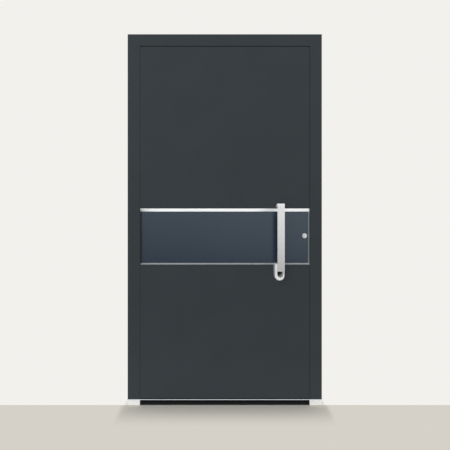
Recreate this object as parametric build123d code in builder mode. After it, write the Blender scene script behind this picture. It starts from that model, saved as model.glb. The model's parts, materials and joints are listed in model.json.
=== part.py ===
from build123d import *
from math import atan2, pi, tan
import os

# Aluminium front door in its frame, in millimetres. X runs to the right seen from outdoors,
# Y into the house and Z up. The origin is the centre of the threshold's underside.

# Fixed frame
frame_width = 1100
frame_height = 2100
frame_depth = 80
frame_face = 66.5
rebate_face = 46
outdoor_shell_depth = 28
stop_draft = 3
break_depth = 20
break_thickness = 3
arris_radius = 1
fixing_hole_radius = 4
fixing_end_distance = 200
fixings_per_post = 4

# Threshold
threshold_height = 29.5
plate_thickness = 3.5
plate_nose = 2
nose_depth = 1
nose_radius = 0.6
foot_width = 69.5
base_groove_bottom = 15
base_groove_height = 5.5
base_groove_depth = 8

# Clearances between the leaf and the frame
edge_gap = 5
rebate_gap = 7
stop_gap = 5
sill_gap = 5
indoor_setback = 2
touch_gap = 0.3

# Seals
seal_width = 7
stop_seal_thickness = 4
seal_inset = 1.5
sill_seal_height = 4

# Leaf
skin_thickness = 3
skin_edge_radius = 1
stile_width = 60
bottom_rail_height = 90
edge_break_width = 10
edge_break_depth = 2
edge_break_setback = 3

# Recess band across the leaf
recess_bottom = 796
recess_height = 316.5
recess_depth = 18
top_flank = 16
bottom_flank = 6
side_flank = 2
panel_thickness = 3

# Hinges
hinge_height = 120
hinge_end_distance = 210
hinge_corner_radius = 5
leaf_knuckle_height = 48
knuckle_gap = 1
barrel_radius = 10
pin_radius = 5
pin_clearance = 0.08
pin_offset_from_rebate = 3.5
pin_standoff = 14
hinge_plate_thickness = 5
hinge_plate_offset = 16.5
hinge_plate_width = 32
hinge_arm_reach = 33
hinge_arm_top = 2

# Lock
lock_backset = 41.5
cylinder_z = 958
lever_spacing = 92
cylinder_radius = 8.5
cylinder_lobe_width = 10
cylinder_lobe_drop = 19.5
cylinder_proud = 9
indoor_cylinder_proud = 9
plug_radius = 6.5
plug_clearance = 0.08
plug_length = 20
plug_proud = 0.5
keyway_width = 2.2
keyway_length = 9.5
keyway_depth = 14
keyway_turn = -35
outdoor_rosette_radius = 14
outdoor_rosette_thickness = 6
outdoor_rosette_fillet = 2.4
indoor_rosette_radius = 26
indoor_rosette_thickness = 8
indoor_rosette_fillet = 2.4

# Locking edge
faceplate_width = 20
faceplate_thickness = 3
faceplate_end_distance = 200
faceplate_corner_radius = 3
faceplate_setback = 16
bolt_width = 12
bolt_depth = 12
latch_height = 26
dead_bolt_height = 40
hook_height = 46
hook_end_distance = 380
strike_width = 20
strike_thickness = 3
strike_margin = 40
strike_pocket_play = 3

# Indoor lever
lever_radius = 9.5
lever_standoff = 55
lever_length = 130
lever_bend = 18
lever_collar_radius = 12.5
lever_collar_length = 7
lever_end_radius = 2

# Pull handle
bar_inset = 169.5
bar_width = 40
bar_thickness = 10
bar_edge_radius = 1.6
bar_standoff = 52
bar_above_recess = 27
bar_below_recess = 32
return_drop = 16
bend_inner_radius = 2.5
loop_width = 52
loop_left_wall = 13
loop_right_wall = 7
loop_bottom_wall = 15
loop_top_wall = 7
loop_height = 92
loop_below_recess = 82
loop_top_radius = 8
loop_hole_top_radius = 3
loop_rim_radius = 2.5

# Places worked out from the sizes above
half_width = frame_width / 2
front_y = -frame_depth / 2
back_y = frame_depth / 2
stop_y = front_y + outdoor_shell_depth
indoor_shell_y = stop_y + break_depth
sill_z = threshold_height + plate_thickness

leaf_back = back_y - indoor_setback
step_y = stop_y + stop_gap
outer_half = half_width - frame_face - edge_gap
inner_half = half_width - rebate_face - rebate_gap
outer_top = frame_height - frame_face - edge_gap
inner_top = frame_height - rebate_face - rebate_gap
leaf_bottom = sill_z + sill_gap
skin_back = front_y + skin_thickness
inner_skin_front = leaf_back - skin_thickness
core_half = outer_half - stile_width
core_top = outer_top - stile_width
core_bottom = leaf_bottom + bottom_rail_height

recess_top = recess_bottom + recess_height
panel_half = outer_half - side_flank
panel_top = recess_top - top_flank
panel_bottom = recess_bottom + bottom_flank
panel_y = front_y + recess_depth
panel_back = panel_y + panel_thickness

lock_x = inner_half - lock_backset
pin_x = -(inner_half + pin_offset_from_rebate)
pin_y = back_y + pin_standoff
faceplate_y = step_y + faceplate_setback
faceplate_mid_y = faceplate_y + faceplate_width / 2
lever_z = cylinder_z + lever_spacing
bar_x = outer_half - bar_inset
bar_back = front_y - bar_standoff
bar_top = recess_top + bar_above_recess
bar_bottom = recess_bottom - bar_below_recess
loop_bottom = recess_bottom - loop_below_recess
loop_top = loop_bottom + loop_height

hinge_low_z = leaf_bottom + hinge_end_distance
hinge_high_z = inner_top - hinge_end_distance
hinge_heights = {
    "bottom": hinge_low_z,
    "middle": (hinge_low_z + hinge_high_z) / 2,
    "top": hinge_high_z,
}
fixing_span = frame_height - 2 * fixing_end_distance
fixing_heights = [
    fixing_end_distance + fixing_span * i / (fixings_per_post - 1) for i in range(fixings_per_post)
]
faceplate_z = (leaf_bottom + faceplate_end_distance, inner_top - faceplate_end_distance)
hook_heights = (leaf_bottom + hook_end_distance, inner_top - hook_end_distance)

latch_place = (lever_z, latch_height)
dead_bolt_place = (cylinder_z, dead_bolt_height)
hook_places = [(height, hook_height) for height in hook_heights]
bolt_places = [latch_place, dead_bolt_place, *hook_places]
main_strike_span = lever_spacing + dead_bolt_height + 2 * strike_margin
strike_places = [((lever_z + cylinder_z) / 2, main_strike_span)]
strike_places += [(height, hook_height + 2 * strike_margin) for height in hook_heights]
strike_y = (faceplate_mid_y - strike_width / 2, faceplate_mid_y + strike_width / 2)
bolt_y = (faceplate_mid_y - bolt_width / 2, faceplate_mid_y + bolt_width / 2)

os.makedirs("parts", exist_ok=True)


def save(part, name):
    """Label one finished piece and write it."""
    part.label = name
    export_step(part, f"parts/{name}.step")


def block(x_range, y_range, z_range, mode=Mode.ADD):
    """A straight length of bar or sheet between two values on each axis, in the current part."""
    spans = [(min(ends), max(ends)) for ends in (x_range, y_range, z_range)]
    with Locations(tuple((low + high) / 2 for low, high in spans)):
        Box(*(high - low for low, high in spans), mode=mode)


# Frame members: an outdoor shell and an indoor shell, mitred at the head


def frame_post(side, section, name):
    """An upright from the threshold to the head. Its section is (distance from the wall face, y)."""
    with BuildPart() as post:
        with BuildSketch(Plane.XY.offset(sill_z)) as outline:
            with BuildLine():
                Polyline(*[(side * (half_width - inset), y) for inset, y in section], close=True)
            make_face()
            fillet(outline.vertices().group_by(Axis.Y)[0], radius=arris_radius)
        extrude(amount=frame_height - sill_z)
        mitre = Plane(origin=(side * half_width, 0, frame_height), z_dir=(side, 0, -1))
        split(bisect_by=mitre, keep=Keep.TOP)
    post.part.label = name
    return post.part


def frame_head(section, name):
    """The top member, with the same section as its posts, mitred at both ends."""
    with BuildPart() as head:
        with BuildSketch(Plane.YZ) as outline:
            with BuildLine():
                Polyline(*[(y, frame_height - inset) for inset, y in section], close=True)
            make_face()
            fillet(outline.vertices().group_by(Axis.X)[0], radius=arris_radius)
        extrude(amount=half_width, both=True)
        for side in (-1, 1):
            mitre = Plane(origin=(side * half_width, 0, frame_height), z_dir=(-side, 0, 1))
            split(bisect_by=mitre, keep=Keep.TOP)
    save(head.part, name)


# The stop's face leans back a little, so that the leaf's edge passes it with room to spare
outdoor_section = [
    (0, front_y),
    (frame_face, front_y),
    (frame_face - stop_draft, stop_y),
    (0, stop_y),
]
indoor_section = [
    (0, indoor_shell_y),
    (rebate_face, indoor_shell_y),
    (rebate_face, back_y),
    (0, back_y),
]
save(frame_post(-1, outdoor_section, "left"), "frame_left_outer")
save(frame_post(1, outdoor_section, "right"), "frame_right_outer")
frame_head(outdoor_section, "frame_head_outer")
frame_head(indoor_section, "frame_head_inner")

indoor_shell_mid = (indoor_shell_y + back_y) / 2
rebate_x = half_width - rebate_face

for side, name in ((-1, "frame_left_inner"), (1, "frame_right_inner")):
    with BuildPart() as inner_post:
        add(frame_post(side, indoor_section, name))
        for height in fixing_heights:
            with BuildSketch(Plane.YZ.offset(side * half_width)):
                with Locations((indoor_shell_mid, height)):
                    Circle(fixing_hole_radius)
            extrude(amount=-side * rebate_face, mode=Mode.SUBTRACT)
        if side > 0:
            for height, tall in strike_places:
                strike_z = (height - tall / 2, height + tall / 2)
                block((rebate_x, rebate_x + strike_thickness), strike_y, strike_z, Mode.SUBTRACT)
    save(inner_post.part, name)

# Strike plates let into the lock-side post, with pockets for the latch and the hooks
with BuildPart() as strikes:
    for height, tall in strike_places:
        block(
            (rebate_x, rebate_x + strike_thickness),
            strike_y,
            (height - tall / 2, height + tall / 2),
        )
    for height, tall in bolt_places:
        pocket_z = (height - tall / 2 - strike_pocket_play, height + tall / 2 + strike_pocket_play)
        block((rebate_x, rebate_x + strike_thickness), bolt_y, pocket_z, Mode.SUBTRACT)
save(strikes.part, "strike_plates")

# Insulating strips that join the two shells, on the rebate side and on the wall side
strip_y = (stop_y, indoor_shell_y)
rebate_top = frame_height - rebate_face
with BuildPart() as breaks:
    for side in (-1, 1):
        block(
            (side * rebate_x, side * (rebate_x + break_thickness)),
            strip_y,
            (sill_z, rebate_top - touch_gap),
        )
        block(
            (side * (half_width - break_thickness), side * half_width),
            strip_y,
            (sill_z, frame_height - break_thickness - touch_gap),
        )
    block(
        (-rebate_x - break_thickness, rebate_x + break_thickness),
        strip_y,
        (rebate_top, rebate_top + break_thickness),
    )
    block(
        (-half_width, half_width),
        strip_y,
        (frame_height - break_thickness, frame_height),
    )
save(breaks.part, "frame_thermal_breaks")

# Rubber strips on the stop face, which the leaf's step closes against
stop_x = half_width - frame_face + stop_draft
stop_z = frame_height - frame_face + stop_draft
seal_y = (stop_y, stop_y + stop_seal_thickness)
with BuildPart() as stop_seal:
    for side in (-1, 1):
        block(
            (side * (stop_x + seal_inset), side * (stop_x + seal_inset + seal_width)),
            seal_y,
            (sill_z, stop_z + seal_inset - touch_gap),
        )
    block(
        (-stop_x - seal_inset - seal_width, stop_x + seal_inset + seal_width),
        seal_y,
        (stop_z + seal_inset, stop_z + seal_inset + seal_width),
    )
save(stop_seal.part, "frame_stop_seal")

# Threshold: an insulating base between two feet, under an aluminium nose, an insulating strip
# and an indoor plate that run from one side of the frame to the other
foot_x = half_width - foot_width
with BuildPart() as threshold:
    block((-foot_x, foot_x), (front_y, back_y), (0, threshold_height))
    drip_y = (front_y, front_y + base_groove_depth)
    drip_z = (base_groove_bottom, base_groove_bottom + base_groove_height)
    block((-foot_x, foot_x), drip_y, drip_z, Mode.SUBTRACT)
save(threshold.part, "threshold_base")

nose_back = front_y + nose_depth
with BuildPart() as sill_plates:
    block((-half_width, half_width), (front_y - plate_nose, nose_back), (threshold_height, sill_z))
    block((-half_width, half_width), (indoor_shell_y, back_y), (threshold_height, sill_z))
    length_edges = sill_plates.edges().filter_by(Axis.X).group_by(Axis.Y)
    fillet(length_edges[0] + length_edges[-1], radius=nose_radius)
save(sill_plates.part, "threshold_plate")

with BuildPart() as sill_break:
    block((-half_width, half_width), (nose_back, indoor_shell_y), (threshold_height, sill_z))
save(sill_break.part, "threshold_break")

for side, name in ((-1, "left_foot"), (1, "right_foot")):
    with BuildPart() as foot:
        block((side * foot_x, side * half_width), (front_y, back_y), (0, threshold_height))
    save(foot.part, name)


# Recess: the pocket in the leaf and the four sloping trims around its panel


def recess_outline(half, low, high):
    """The rectangle of the recess at one depth."""
    with Locations((0, (low + high) / 2)):
        Rectangle(2 * half, high - low)


def cut_pocket():
    """Take the room for the trims and the panel out of the current part."""
    with BuildSketch(Plane.XZ.offset(-skin_back)) as mouth:
        recess_outline(outer_half, recess_bottom, recess_top)
    with BuildSketch(Plane.XZ.offset(-panel_back)) as floor:
        recess_outline(panel_half, panel_bottom, panel_top)
    loft(sections=[mouth.sketch.face(), floor.sketch.face()], mode=Mode.SUBTRACT)


def euro_profile(clearance):
    """The section of a profile cylinder: a round head with a narrow lobe below it."""
    Circle(cylinder_radius + clearance)
    with Locations((0, -cylinder_lobe_drop / 2)):
        Rectangle(cylinder_lobe_width + 2 * clearance, cylinder_lobe_drop)
    with Locations((0, -cylinder_lobe_drop)):
        Circle(cylinder_lobe_width / 2 + clearance)


def cylinder_plane(y):
    """A plane square to the lock cylinder, centred on its axis."""
    return Plane(origin=(lock_x, y, cylinder_z), x_dir=(1, 0, 0), z_dir=(0, -1, 0))


def trim(section_plane, section, length, elevation):
    """A folded strip: its section along its length, with both ends mitred in elevation."""
    with BuildPart() as strip:
        with BuildSketch(section_plane):
            with BuildLine():
                Polyline(*section, close=True)
            make_face()
        extrude(amount=length / 2, both=True)
        with BuildSketch(Plane.XZ.offset(-panel_back)):
            with BuildLine():
                Polyline(*elevation, close=True)
            make_face()
        extrude(amount=panel_back - front_y, mode=Mode.INTERSECT)
    return strip.part


def level_trim(edge_z, panel_z, name):
    """The top or the bottom strip of the recess."""
    section = [
        (front_y, edge_z),
        (panel_y, panel_z),
        (panel_back, panel_z),
        (skin_back, edge_z),
    ]
    elevation = [
        (-outer_half, edge_z),
        (outer_half, edge_z),
        (panel_half, panel_z),
        (-panel_half, panel_z),
    ]
    save(trim(Plane.YZ, section, 2 * outer_half, elevation), name)


def upright_trim(side, name):
    """The left or the right strip of the recess."""
    section = [
        (side * outer_half, front_y),
        (side * panel_half, panel_y),
        (side * panel_half, panel_back),
        (side * outer_half, skin_back),
    ]
    elevation = [
        (side * outer_half, recess_bottom),
        (side * outer_half, recess_top),
        (side * panel_half, panel_top),
        (side * panel_half, panel_bottom),
    ]
    mid_z = (recess_bottom + recess_top) / 2
    save(trim(Plane.XY.offset(mid_z), section, recess_height, elevation), name)


level_trim(recess_top, panel_top, "recess_trim_top")
level_trim(recess_bottom, panel_bottom, "recess_trim_bottom")
upright_trim(-1, "recess_trim_left")
upright_trim(1, "recess_trim_right")

with BuildPart() as panel:
    block((-panel_half, panel_half), (panel_y, panel_back), (panel_bottom, panel_top))
    with BuildSketch(cylinder_plane(panel_back)):
        Circle(cylinder_radius + touch_gap)
    extrude(amount=panel_thickness, mode=Mode.SUBTRACT)
save(panel.part, "recess_panel")

# Leaf skins: two sheets outdoors, above and below the recess, and one sheet indoors
with BuildPart() as skin_lower:
    block((-outer_half, outer_half), (front_y, skin_back), (leaf_bottom, recess_bottom))
    face_edges = skin_lower.faces().sort_by(Axis.Y)[0].edges().sort_by(Axis.Z)
    fillet(face_edges[:-1], radius=skin_edge_radius)
save(skin_lower.part, "leaf_outer_skin_lower")

with BuildPart() as skin_upper:
    block((-outer_half, outer_half), (front_y, skin_back), (recess_top, outer_top))
    face_edges = skin_upper.faces().sort_by(Axis.Y)[0].edges().sort_by(Axis.Z)
    fillet(face_edges[1:], radius=skin_edge_radius)
save(skin_upper.part, "leaf_outer_skin_upper")

with BuildPart() as skin_inner:
    block((-inner_half, inner_half), (inner_skin_front, leaf_back), (leaf_bottom, inner_top))
    fillet(skin_inner.faces().sort_by(Axis.Y)[-1].edges(), radius=skin_edge_radius)
    with BuildSketch(cylinder_plane(leaf_back)):
        euro_profile(touch_gap)
    extrude(amount=skin_thickness, mode=Mode.SUBTRACT)
save(skin_inner.part, "leaf_inner_skin")

# Leaf frame: two stepped stiles and a stepped top rail, mitred, and a plain bottom rail
edge_break_y = (step_y + edge_break_setback, step_y + edge_break_setback + edge_break_width)


def leaf_stile(side, name):
    """A full-height stile, stepped for the rebate, with its groove for the insulating strip."""
    with BuildPart() as stile:
        with BuildSketch(Plane.XY.offset(leaf_bottom)):
            with BuildLine():
                Polyline(
                    (side * core_half, skin_back),
                    (side * outer_half, skin_back),
                    (side * outer_half, step_y),
                    (side * inner_half, step_y),
                    (side * inner_half, inner_skin_front),
                    (side * core_half, inner_skin_front),
                    close=True,
                )
            make_face()
        extrude(amount=inner_top - leaf_bottom)
        mitre = Plane(origin=(side * inner_half, 0, inner_top), z_dir=(side, 0, -1))
        split(bisect_by=mitre, keep=Keep.TOP)
        cut_pocket()
        groove_x = (side * (inner_half - edge_break_depth), side * inner_half)
        block(groove_x, edge_break_y, (leaf_bottom, inner_top), Mode.SUBTRACT)
        if side > 0:
            block(
                (inner_half - faceplate_thickness, inner_half),
                (faceplate_y, faceplate_y + faceplate_width),
                faceplate_z,
                Mode.SUBTRACT,
            )
            for height, tall in bolt_places:
                block(
                    (inner_half - bolt_depth, inner_half),
                    bolt_y,
                    (height - tall / 2, height + tall / 2),
                    Mode.SUBTRACT,
                )
            with BuildSketch(cylinder_plane(inner_skin_front)):
                euro_profile(touch_gap)
            extrude(amount=inner_skin_front - skin_back, mode=Mode.SUBTRACT)
    save(stile.part, name)


leaf_stile(-1, "leaf_hinge_stile")
leaf_stile(1, "leaf_lock_stile")

with BuildPart() as top_rail:
    with BuildSketch(Plane.YZ):
        with BuildLine():
            Polyline(
                (skin_back, core_top),
                (skin_back, outer_top),
                (step_y, outer_top),
                (step_y, inner_top),
                (inner_skin_front, inner_top),
                (inner_skin_front, core_top),
                close=True,
            )
        make_face()
    extrude(amount=inner_half, both=True)
    for side in (-1, 1):
        mitre = Plane(origin=(side * inner_half, 0, inner_top), z_dir=(-side, 0, 1))
        split(bisect_by=mitre, keep=Keep.TOP)
    groove_z = (inner_top - edge_break_depth, inner_top)
    block((-inner_half, inner_half), edge_break_y, groove_z, Mode.SUBTRACT)
save(top_rail.part, "leaf_top_rail")

with BuildPart() as bottom_rail:
    block((-core_half, core_half), (skin_back, inner_skin_front), (leaf_bottom, core_bottom))
save(bottom_rail.part, "leaf_bottom_rail")

with BuildPart() as core:
    block((-core_half, core_half), (skin_back, inner_skin_front), (core_bottom, core_top))
    cut_pocket()
save(core.part, "leaf_core")

with BuildPart() as edge_break:
    for side in (-1, 1):
        block(
            (side * (inner_half - edge_break_depth), side * inner_half),
            edge_break_y,
            (leaf_bottom, inner_top - edge_break_depth - touch_gap),
        )
    block((-inner_half, inner_half), edge_break_y, (inner_top - edge_break_depth, inner_top))
save(edge_break.part, "leaf_edge_break")

with BuildPart() as sill_seal:
    block(
        (-outer_half, outer_half),
        (step_y, step_y + seal_width),
        (leaf_bottom - sill_seal_height, leaf_bottom),
    )
save(sill_seal.part, "leaf_bottom_seal")

# Locking edge: a long faceplate with the latch and two hooks drawn back inside it
with BuildPart() as faceplate:
    block(
        (inner_half - faceplate_thickness, inner_half),
        (faceplate_y, faceplate_y + faceplate_width),
        faceplate_z,
    )
    fillet(faceplate.edges().filter_by(Axis.X), radius=faceplate_corner_radius)
    for height, tall in bolt_places:
        block(
            (inner_half - faceplate_thickness, inner_half),
            bolt_y,
            (height - tall / 2, height + tall / 2),
            Mode.SUBTRACT,
        )
save(faceplate.part, "lock_faceplate")


def lock_bolt(height, tall):
    """A bolt that fills its pocket in the stile, flush with the faceplate."""
    block(
        (inner_half - bolt_depth, inner_half),
        (bolt_y[0] + touch_gap, bolt_y[1] - touch_gap),
        (height - tall / 2 + touch_gap, height + tall / 2 - touch_gap),
    )


with BuildPart() as latch:
    lock_bolt(*latch_place)
save(latch.part, "latch_bolt")

with BuildPart() as dead_bolt:
    lock_bolt(*dead_bolt_place)
save(dead_bolt.part, "dead_bolt")

with BuildPart() as hooks:
    for height, tall in hook_places:
        lock_bolt(height, tall)
save(hooks.part, "hook_bolts")

# Lock cylinder, its turning plug and its two rosettes
plug_back = panel_y - cylinder_proud + plug_length
with BuildPart() as cylinder:
    with BuildSketch(cylinder_plane(panel_back)):
        Circle(cylinder_radius)
    extrude(amount=panel_back - panel_y + cylinder_proud)
    with BuildSketch(cylinder_plane(leaf_back + indoor_cylinder_proud)):
        euro_profile(0)
    extrude(amount=leaf_back + indoor_cylinder_proud - panel_back)
    with BuildSketch(cylinder_plane(plug_back)):
        Circle(plug_radius + plug_clearance)
    extrude(amount=plug_length, mode=Mode.SUBTRACT)
save(cylinder.part, "lock_cylinder")

plug_front = panel_y - cylinder_proud - plug_proud
with BuildPart() as plug:
    with BuildSketch(cylinder_plane(plug_back - touch_gap)):
        Circle(plug_radius)
    extrude(amount=plug_back - touch_gap - plug_front)
    with BuildSketch(cylinder_plane(plug_front + keyway_depth)):
        with Locations(Location((0, 0, 0), (0, 0, keyway_turn))):
            Rectangle(keyway_width, keyway_length)
    extrude(amount=keyway_depth, mode=Mode.SUBTRACT)
save(plug.part, "cylinder_plug")

with BuildPart() as outdoor_rosette:
    with BuildSketch(cylinder_plane(panel_y)):
        Circle(outdoor_rosette_radius)
        Circle(cylinder_radius + touch_gap, mode=Mode.SUBTRACT)
    extrude(amount=outdoor_rosette_thickness)
    rim = outdoor_rosette.edges().filter_by(GeomType.CIRCLE).group_by(Axis.Y)[0].sort_by(SortBy.LENGTH)[-1]
    fillet(rim, radius=outdoor_rosette_fillet)
save(outdoor_rosette.part, "cylinder_rosette")

with BuildPart() as indoor_rosette:
    with BuildSketch(cylinder_plane(leaf_back + indoor_rosette_thickness)):
        Circle(indoor_rosette_radius)
    extrude(amount=indoor_rosette_thickness)
    rim = indoor_rosette.edges().filter_by(GeomType.CIRCLE).group_by(Axis.Y)[-1]
    fillet(rim, radius=indoor_rosette_fillet)
    with BuildSketch(cylinder_plane(leaf_back + indoor_rosette_thickness)):
        euro_profile(touch_gap)
    extrude(amount=indoor_rosette_thickness, mode=Mode.SUBTRACT)
save(indoor_rosette.part, "inner_cylinder_rosette")

# Indoor lever: a round bar bent once, standing out of its rosette
with BuildPart() as lever_rosette:
    with BuildSketch(Plane.XZ.offset(-leaf_back - indoor_rosette_thickness)):
        with Locations((lock_x, lever_z)):
            Circle(indoor_rosette_radius)
    extrude(amount=indoor_rosette_thickness)
    rim = lever_rosette.edges().filter_by(GeomType.CIRCLE).group_by(Axis.Y)[-1]
    fillet(rim, radius=indoor_rosette_fillet)
save(lever_rosette.part, "lever_rosette")

lever_start_y = leaf_back + indoor_rosette_thickness
lever_y = leaf_back + lever_standoff
with BuildPart() as lever:
    with BuildLine():
        FilletPolyline(
            (lock_x, lever_start_y, lever_z),
            (lock_x, lever_y, lever_z),
            (lock_x - lever_length, lever_y, lever_z),
            radius=lever_bend,
        )
    with BuildSketch(Plane(origin=(lock_x, lever_start_y, lever_z), z_dir=(0, 1, 0))):
        Circle(lever_radius)
    sweep()
    fillet(lever.faces().sort_by(Axis.X)[0].edges(), radius=lever_end_radius)
    with BuildSketch(Plane(origin=(lock_x, lever_start_y, lever_z), z_dir=(0, 1, 0))):
        Circle(lever_collar_radius)
    extrude(amount=lever_collar_length)
save(lever.part, "inside_lever")

# Pull handle: a flat bar whose top is bent back to the leaf, and a stirrup behind its lower end
bar_mid_y = bar_back - bar_thickness / 2
return_slope = atan2(return_drop, bar_standoff + bar_thickness)
bend_radius = bend_inner_radius + bar_thickness / 2
bend_centre_z = bar_top - bend_radius - bar_thickness / 2
bend_corner_z = bend_centre_z + bend_radius * tan((pi / 2 + return_slope) / 2)
return_length = bar_standoff + 2 * bar_thickness
with BuildPart() as pull_bar:
    with BuildLine():
        FilletPolyline(
            (bar_x, bar_mid_y, bar_bottom),
            (bar_x, bar_mid_y, bend_corner_z),
            (bar_x, bar_mid_y + return_length, bend_corner_z - return_length * tan(return_slope)),
            radius=bend_radius,
        )
    with BuildSketch(Plane(origin=(bar_x, bar_mid_y, bar_bottom), x_dir=(1, 0, 0), z_dir=(0, 0, 1))):
        RectangleRounded(bar_width, bar_thickness, bar_edge_radius)
    sweep()
    split(bisect_by=Plane(origin=(0, front_y, 0), z_dir=(0, -1, 0)), keep=Keep.TOP)
save(pull_bar.part, "pull_bar")


def stirrup_outline(left, right, low, high, top_radius):
    """A flat outline with a round lower end and two rounded upper corners."""
    mid_x = (left + right) / 2
    round_z = low + (right - left) / 2
    with BuildSketch() as outline:
        with Locations((mid_x, (round_z + high) / 2)):
            Rectangle(right - left, high - round_z)
        fillet(outline.vertices().group_by(Axis.Y)[-1], radius=top_radius)
        with Locations((mid_x, round_z)):
            Circle((right - left) / 2)
    return outline.sketch


# The stirrup is flush with the bar on the lock side and stands out past it on the other
loop_right = bar_x + bar_width / 2
loop_left = loop_right - loop_width
with BuildPart() as stirrup:
    with BuildSketch(Plane.XZ.offset(-front_y)):
        add(stirrup_outline(loop_left, loop_right, loop_bottom, loop_top, loop_top_radius))
        add(
            stirrup_outline(
                loop_left + loop_left_wall,
                loop_right - loop_right_wall,
                loop_bottom + loop_bottom_wall,
                loop_top - loop_top_wall,
                loop_hole_top_radius,
            ),
            mode=Mode.SUBTRACT,
        )
    extrude(amount=bar_standoff)
    rim = stirrup.faces().sort_by(Axis.Y)[0].outer_wire().edges()
    fillet(rim, radius=loop_rim_radius)
save(stirrup.part, "pull_bar_loop")

# Barrel hinges: two knuckles and the pin on the frame, one bored knuckle on the leaf


def knuckle(low, high, radius, mode=Mode.ADD):
    """A length of barrel, pin or bore on the hinge axis."""
    with Locations((pin_x, pin_y, (low + high) / 2)):
        Cylinder(radius, high - low, mode=mode)


arm_y = (back_y + hinge_plate_thickness, pin_y + hinge_arm_top)
for place, height in hinge_heights.items():
    low = height - hinge_height / 2
    high = height + hinge_height / 2
    knuckle_low = height - leaf_knuckle_height / 2
    knuckle_high = height + leaf_knuckle_height / 2
    with BuildPart() as fixed_half:
        plate_x = pin_x - hinge_plate_offset
        plate_y = (back_y, back_y + hinge_plate_thickness)
        block((plate_x - hinge_plate_width, plate_x), plate_y, (low, high))
        for start, end in ((low, knuckle_low - knuckle_gap), (knuckle_high + knuckle_gap, high)):
            block((pin_x - hinge_arm_reach, pin_x), arm_y, (start, end))
            knuckle(start, end, barrel_radius)
        knuckle(low, high, pin_radius)
        corners = fixed_half.edges().filter_by(Axis.Y).group_by(Axis.X)[0]
        fillet(corners, radius=hinge_corner_radius)
    save(fixed_half.part, f"hinge_{place}_frame")
    with BuildPart() as turning_half:
        plate_x = pin_x + hinge_plate_offset
        plate_y = (leaf_back, leaf_back + hinge_plate_thickness)
        block((plate_x, plate_x + hinge_plate_width), plate_y, (low, high))
        turning_arm_y = (leaf_back + hinge_plate_thickness, pin_y + hinge_arm_top)
        block((pin_x, pin_x + hinge_arm_reach), turning_arm_y, (knuckle_low, knuckle_high))
        knuckle(knuckle_low, knuckle_high, barrel_radius)
        knuckle(knuckle_low, knuckle_high, pin_radius + pin_clearance, Mode.SUBTRACT)
        corners = turning_half.edges().filter_by(Axis.Y).group_by(Axis.X)[-1]
        fillet(corners, radius=hinge_corner_radius)
    save(turning_half.part, f"hinge_{place}_leaf")
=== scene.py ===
import json

import bmesh
import bpy
import numpy as np
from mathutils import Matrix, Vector


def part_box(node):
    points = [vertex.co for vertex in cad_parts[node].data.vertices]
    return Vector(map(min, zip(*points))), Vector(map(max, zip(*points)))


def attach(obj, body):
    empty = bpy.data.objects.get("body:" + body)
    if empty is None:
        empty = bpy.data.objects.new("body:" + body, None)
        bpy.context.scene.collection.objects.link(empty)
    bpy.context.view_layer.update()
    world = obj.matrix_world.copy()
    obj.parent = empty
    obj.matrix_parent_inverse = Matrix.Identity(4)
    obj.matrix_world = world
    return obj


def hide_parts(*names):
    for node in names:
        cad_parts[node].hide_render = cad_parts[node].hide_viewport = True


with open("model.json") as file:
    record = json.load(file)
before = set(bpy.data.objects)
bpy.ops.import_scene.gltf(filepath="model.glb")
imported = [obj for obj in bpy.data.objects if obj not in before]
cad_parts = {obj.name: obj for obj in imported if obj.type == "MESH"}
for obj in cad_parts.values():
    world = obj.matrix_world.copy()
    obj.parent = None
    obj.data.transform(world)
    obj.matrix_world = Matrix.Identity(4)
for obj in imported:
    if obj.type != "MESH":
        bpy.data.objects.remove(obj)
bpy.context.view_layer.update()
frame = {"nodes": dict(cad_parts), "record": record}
scene = bpy.context.scene

# Frame profiles, outdoor and indoor shells
# Extruded aluminium with mitred corners, under a fine-textured anthracite powder coat. The coat
# is sprayed dry and baked, so it has a fine tooth and a faint cloudiness, and no shine.
frame_colour = ((0.0358, 0.0432, 0.0490), (0.0396, 0.0474, 0.0540))
coat_roughness = (0.46, 0.58)
coat_specular = 0.1
coat_tooth = 900
coat_tooth_depth = 0.00006
coat_cloud = 5
coat_tooth_share = 0.35
noise_span = (0.3, 0.7)
frame_profiles = (
    "frame_left_outer", "frame_right_outer", "frame_head_outer",
    "frame_left_inner", "frame_right_inner", "frame_head_inner",
)


def new_finish(name, roughness, metallic=0.0, specular=0.5):
    """A material with one shader, whose constant values stand on the shader's own sockets."""
    finish = bpy.data.materials.new(name)
    finish.use_nodes = True
    shader = finish.node_tree.nodes["Principled BSDF"]
    shader.inputs["Roughness"].default_value = roughness
    shader.inputs["Metallic"].default_value = metallic
    shader.inputs["Specular IOR Level"].default_value = specular
    return finish


def noise(finish, scale, stretch=(1, 1, 1), detail=3.0):
    """Noise over the object's own coordinates in metres, as one value. A stretch under 1 along an
    axis draws the pattern out along it."""
    nodes = finish.node_tree.nodes
    links = finish.node_tree.links
    place = nodes.new("ShaderNodeTexCoord")
    spread = nodes.new("ShaderNodeMapping")
    spread.inputs["Scale"].default_value = [scale * part for part in stretch]
    field = nodes.new("ShaderNodeTexNoise")
    field.inputs["Scale"].default_value = 1
    field.inputs["Detail"].default_value = detail
    links.new(place.outputs["Object"], spread.inputs["Vector"])
    links.new(spread.outputs["Vector"], field.inputs["Vector"])
    return field.outputs[0]


def blend_values(finish, first, second, share):
    """Two noise values weighed together: first * (1 - share) + second * share."""
    mix = finish.node_tree.nodes.new("ShaderNodeMix")
    mix.inputs["Factor"].default_value = share
    finish.node_tree.links.new(first, mix.inputs["A"])
    finish.node_tree.links.new(second, mix.inputs["B"])
    return mix.outputs["Result"]


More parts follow.
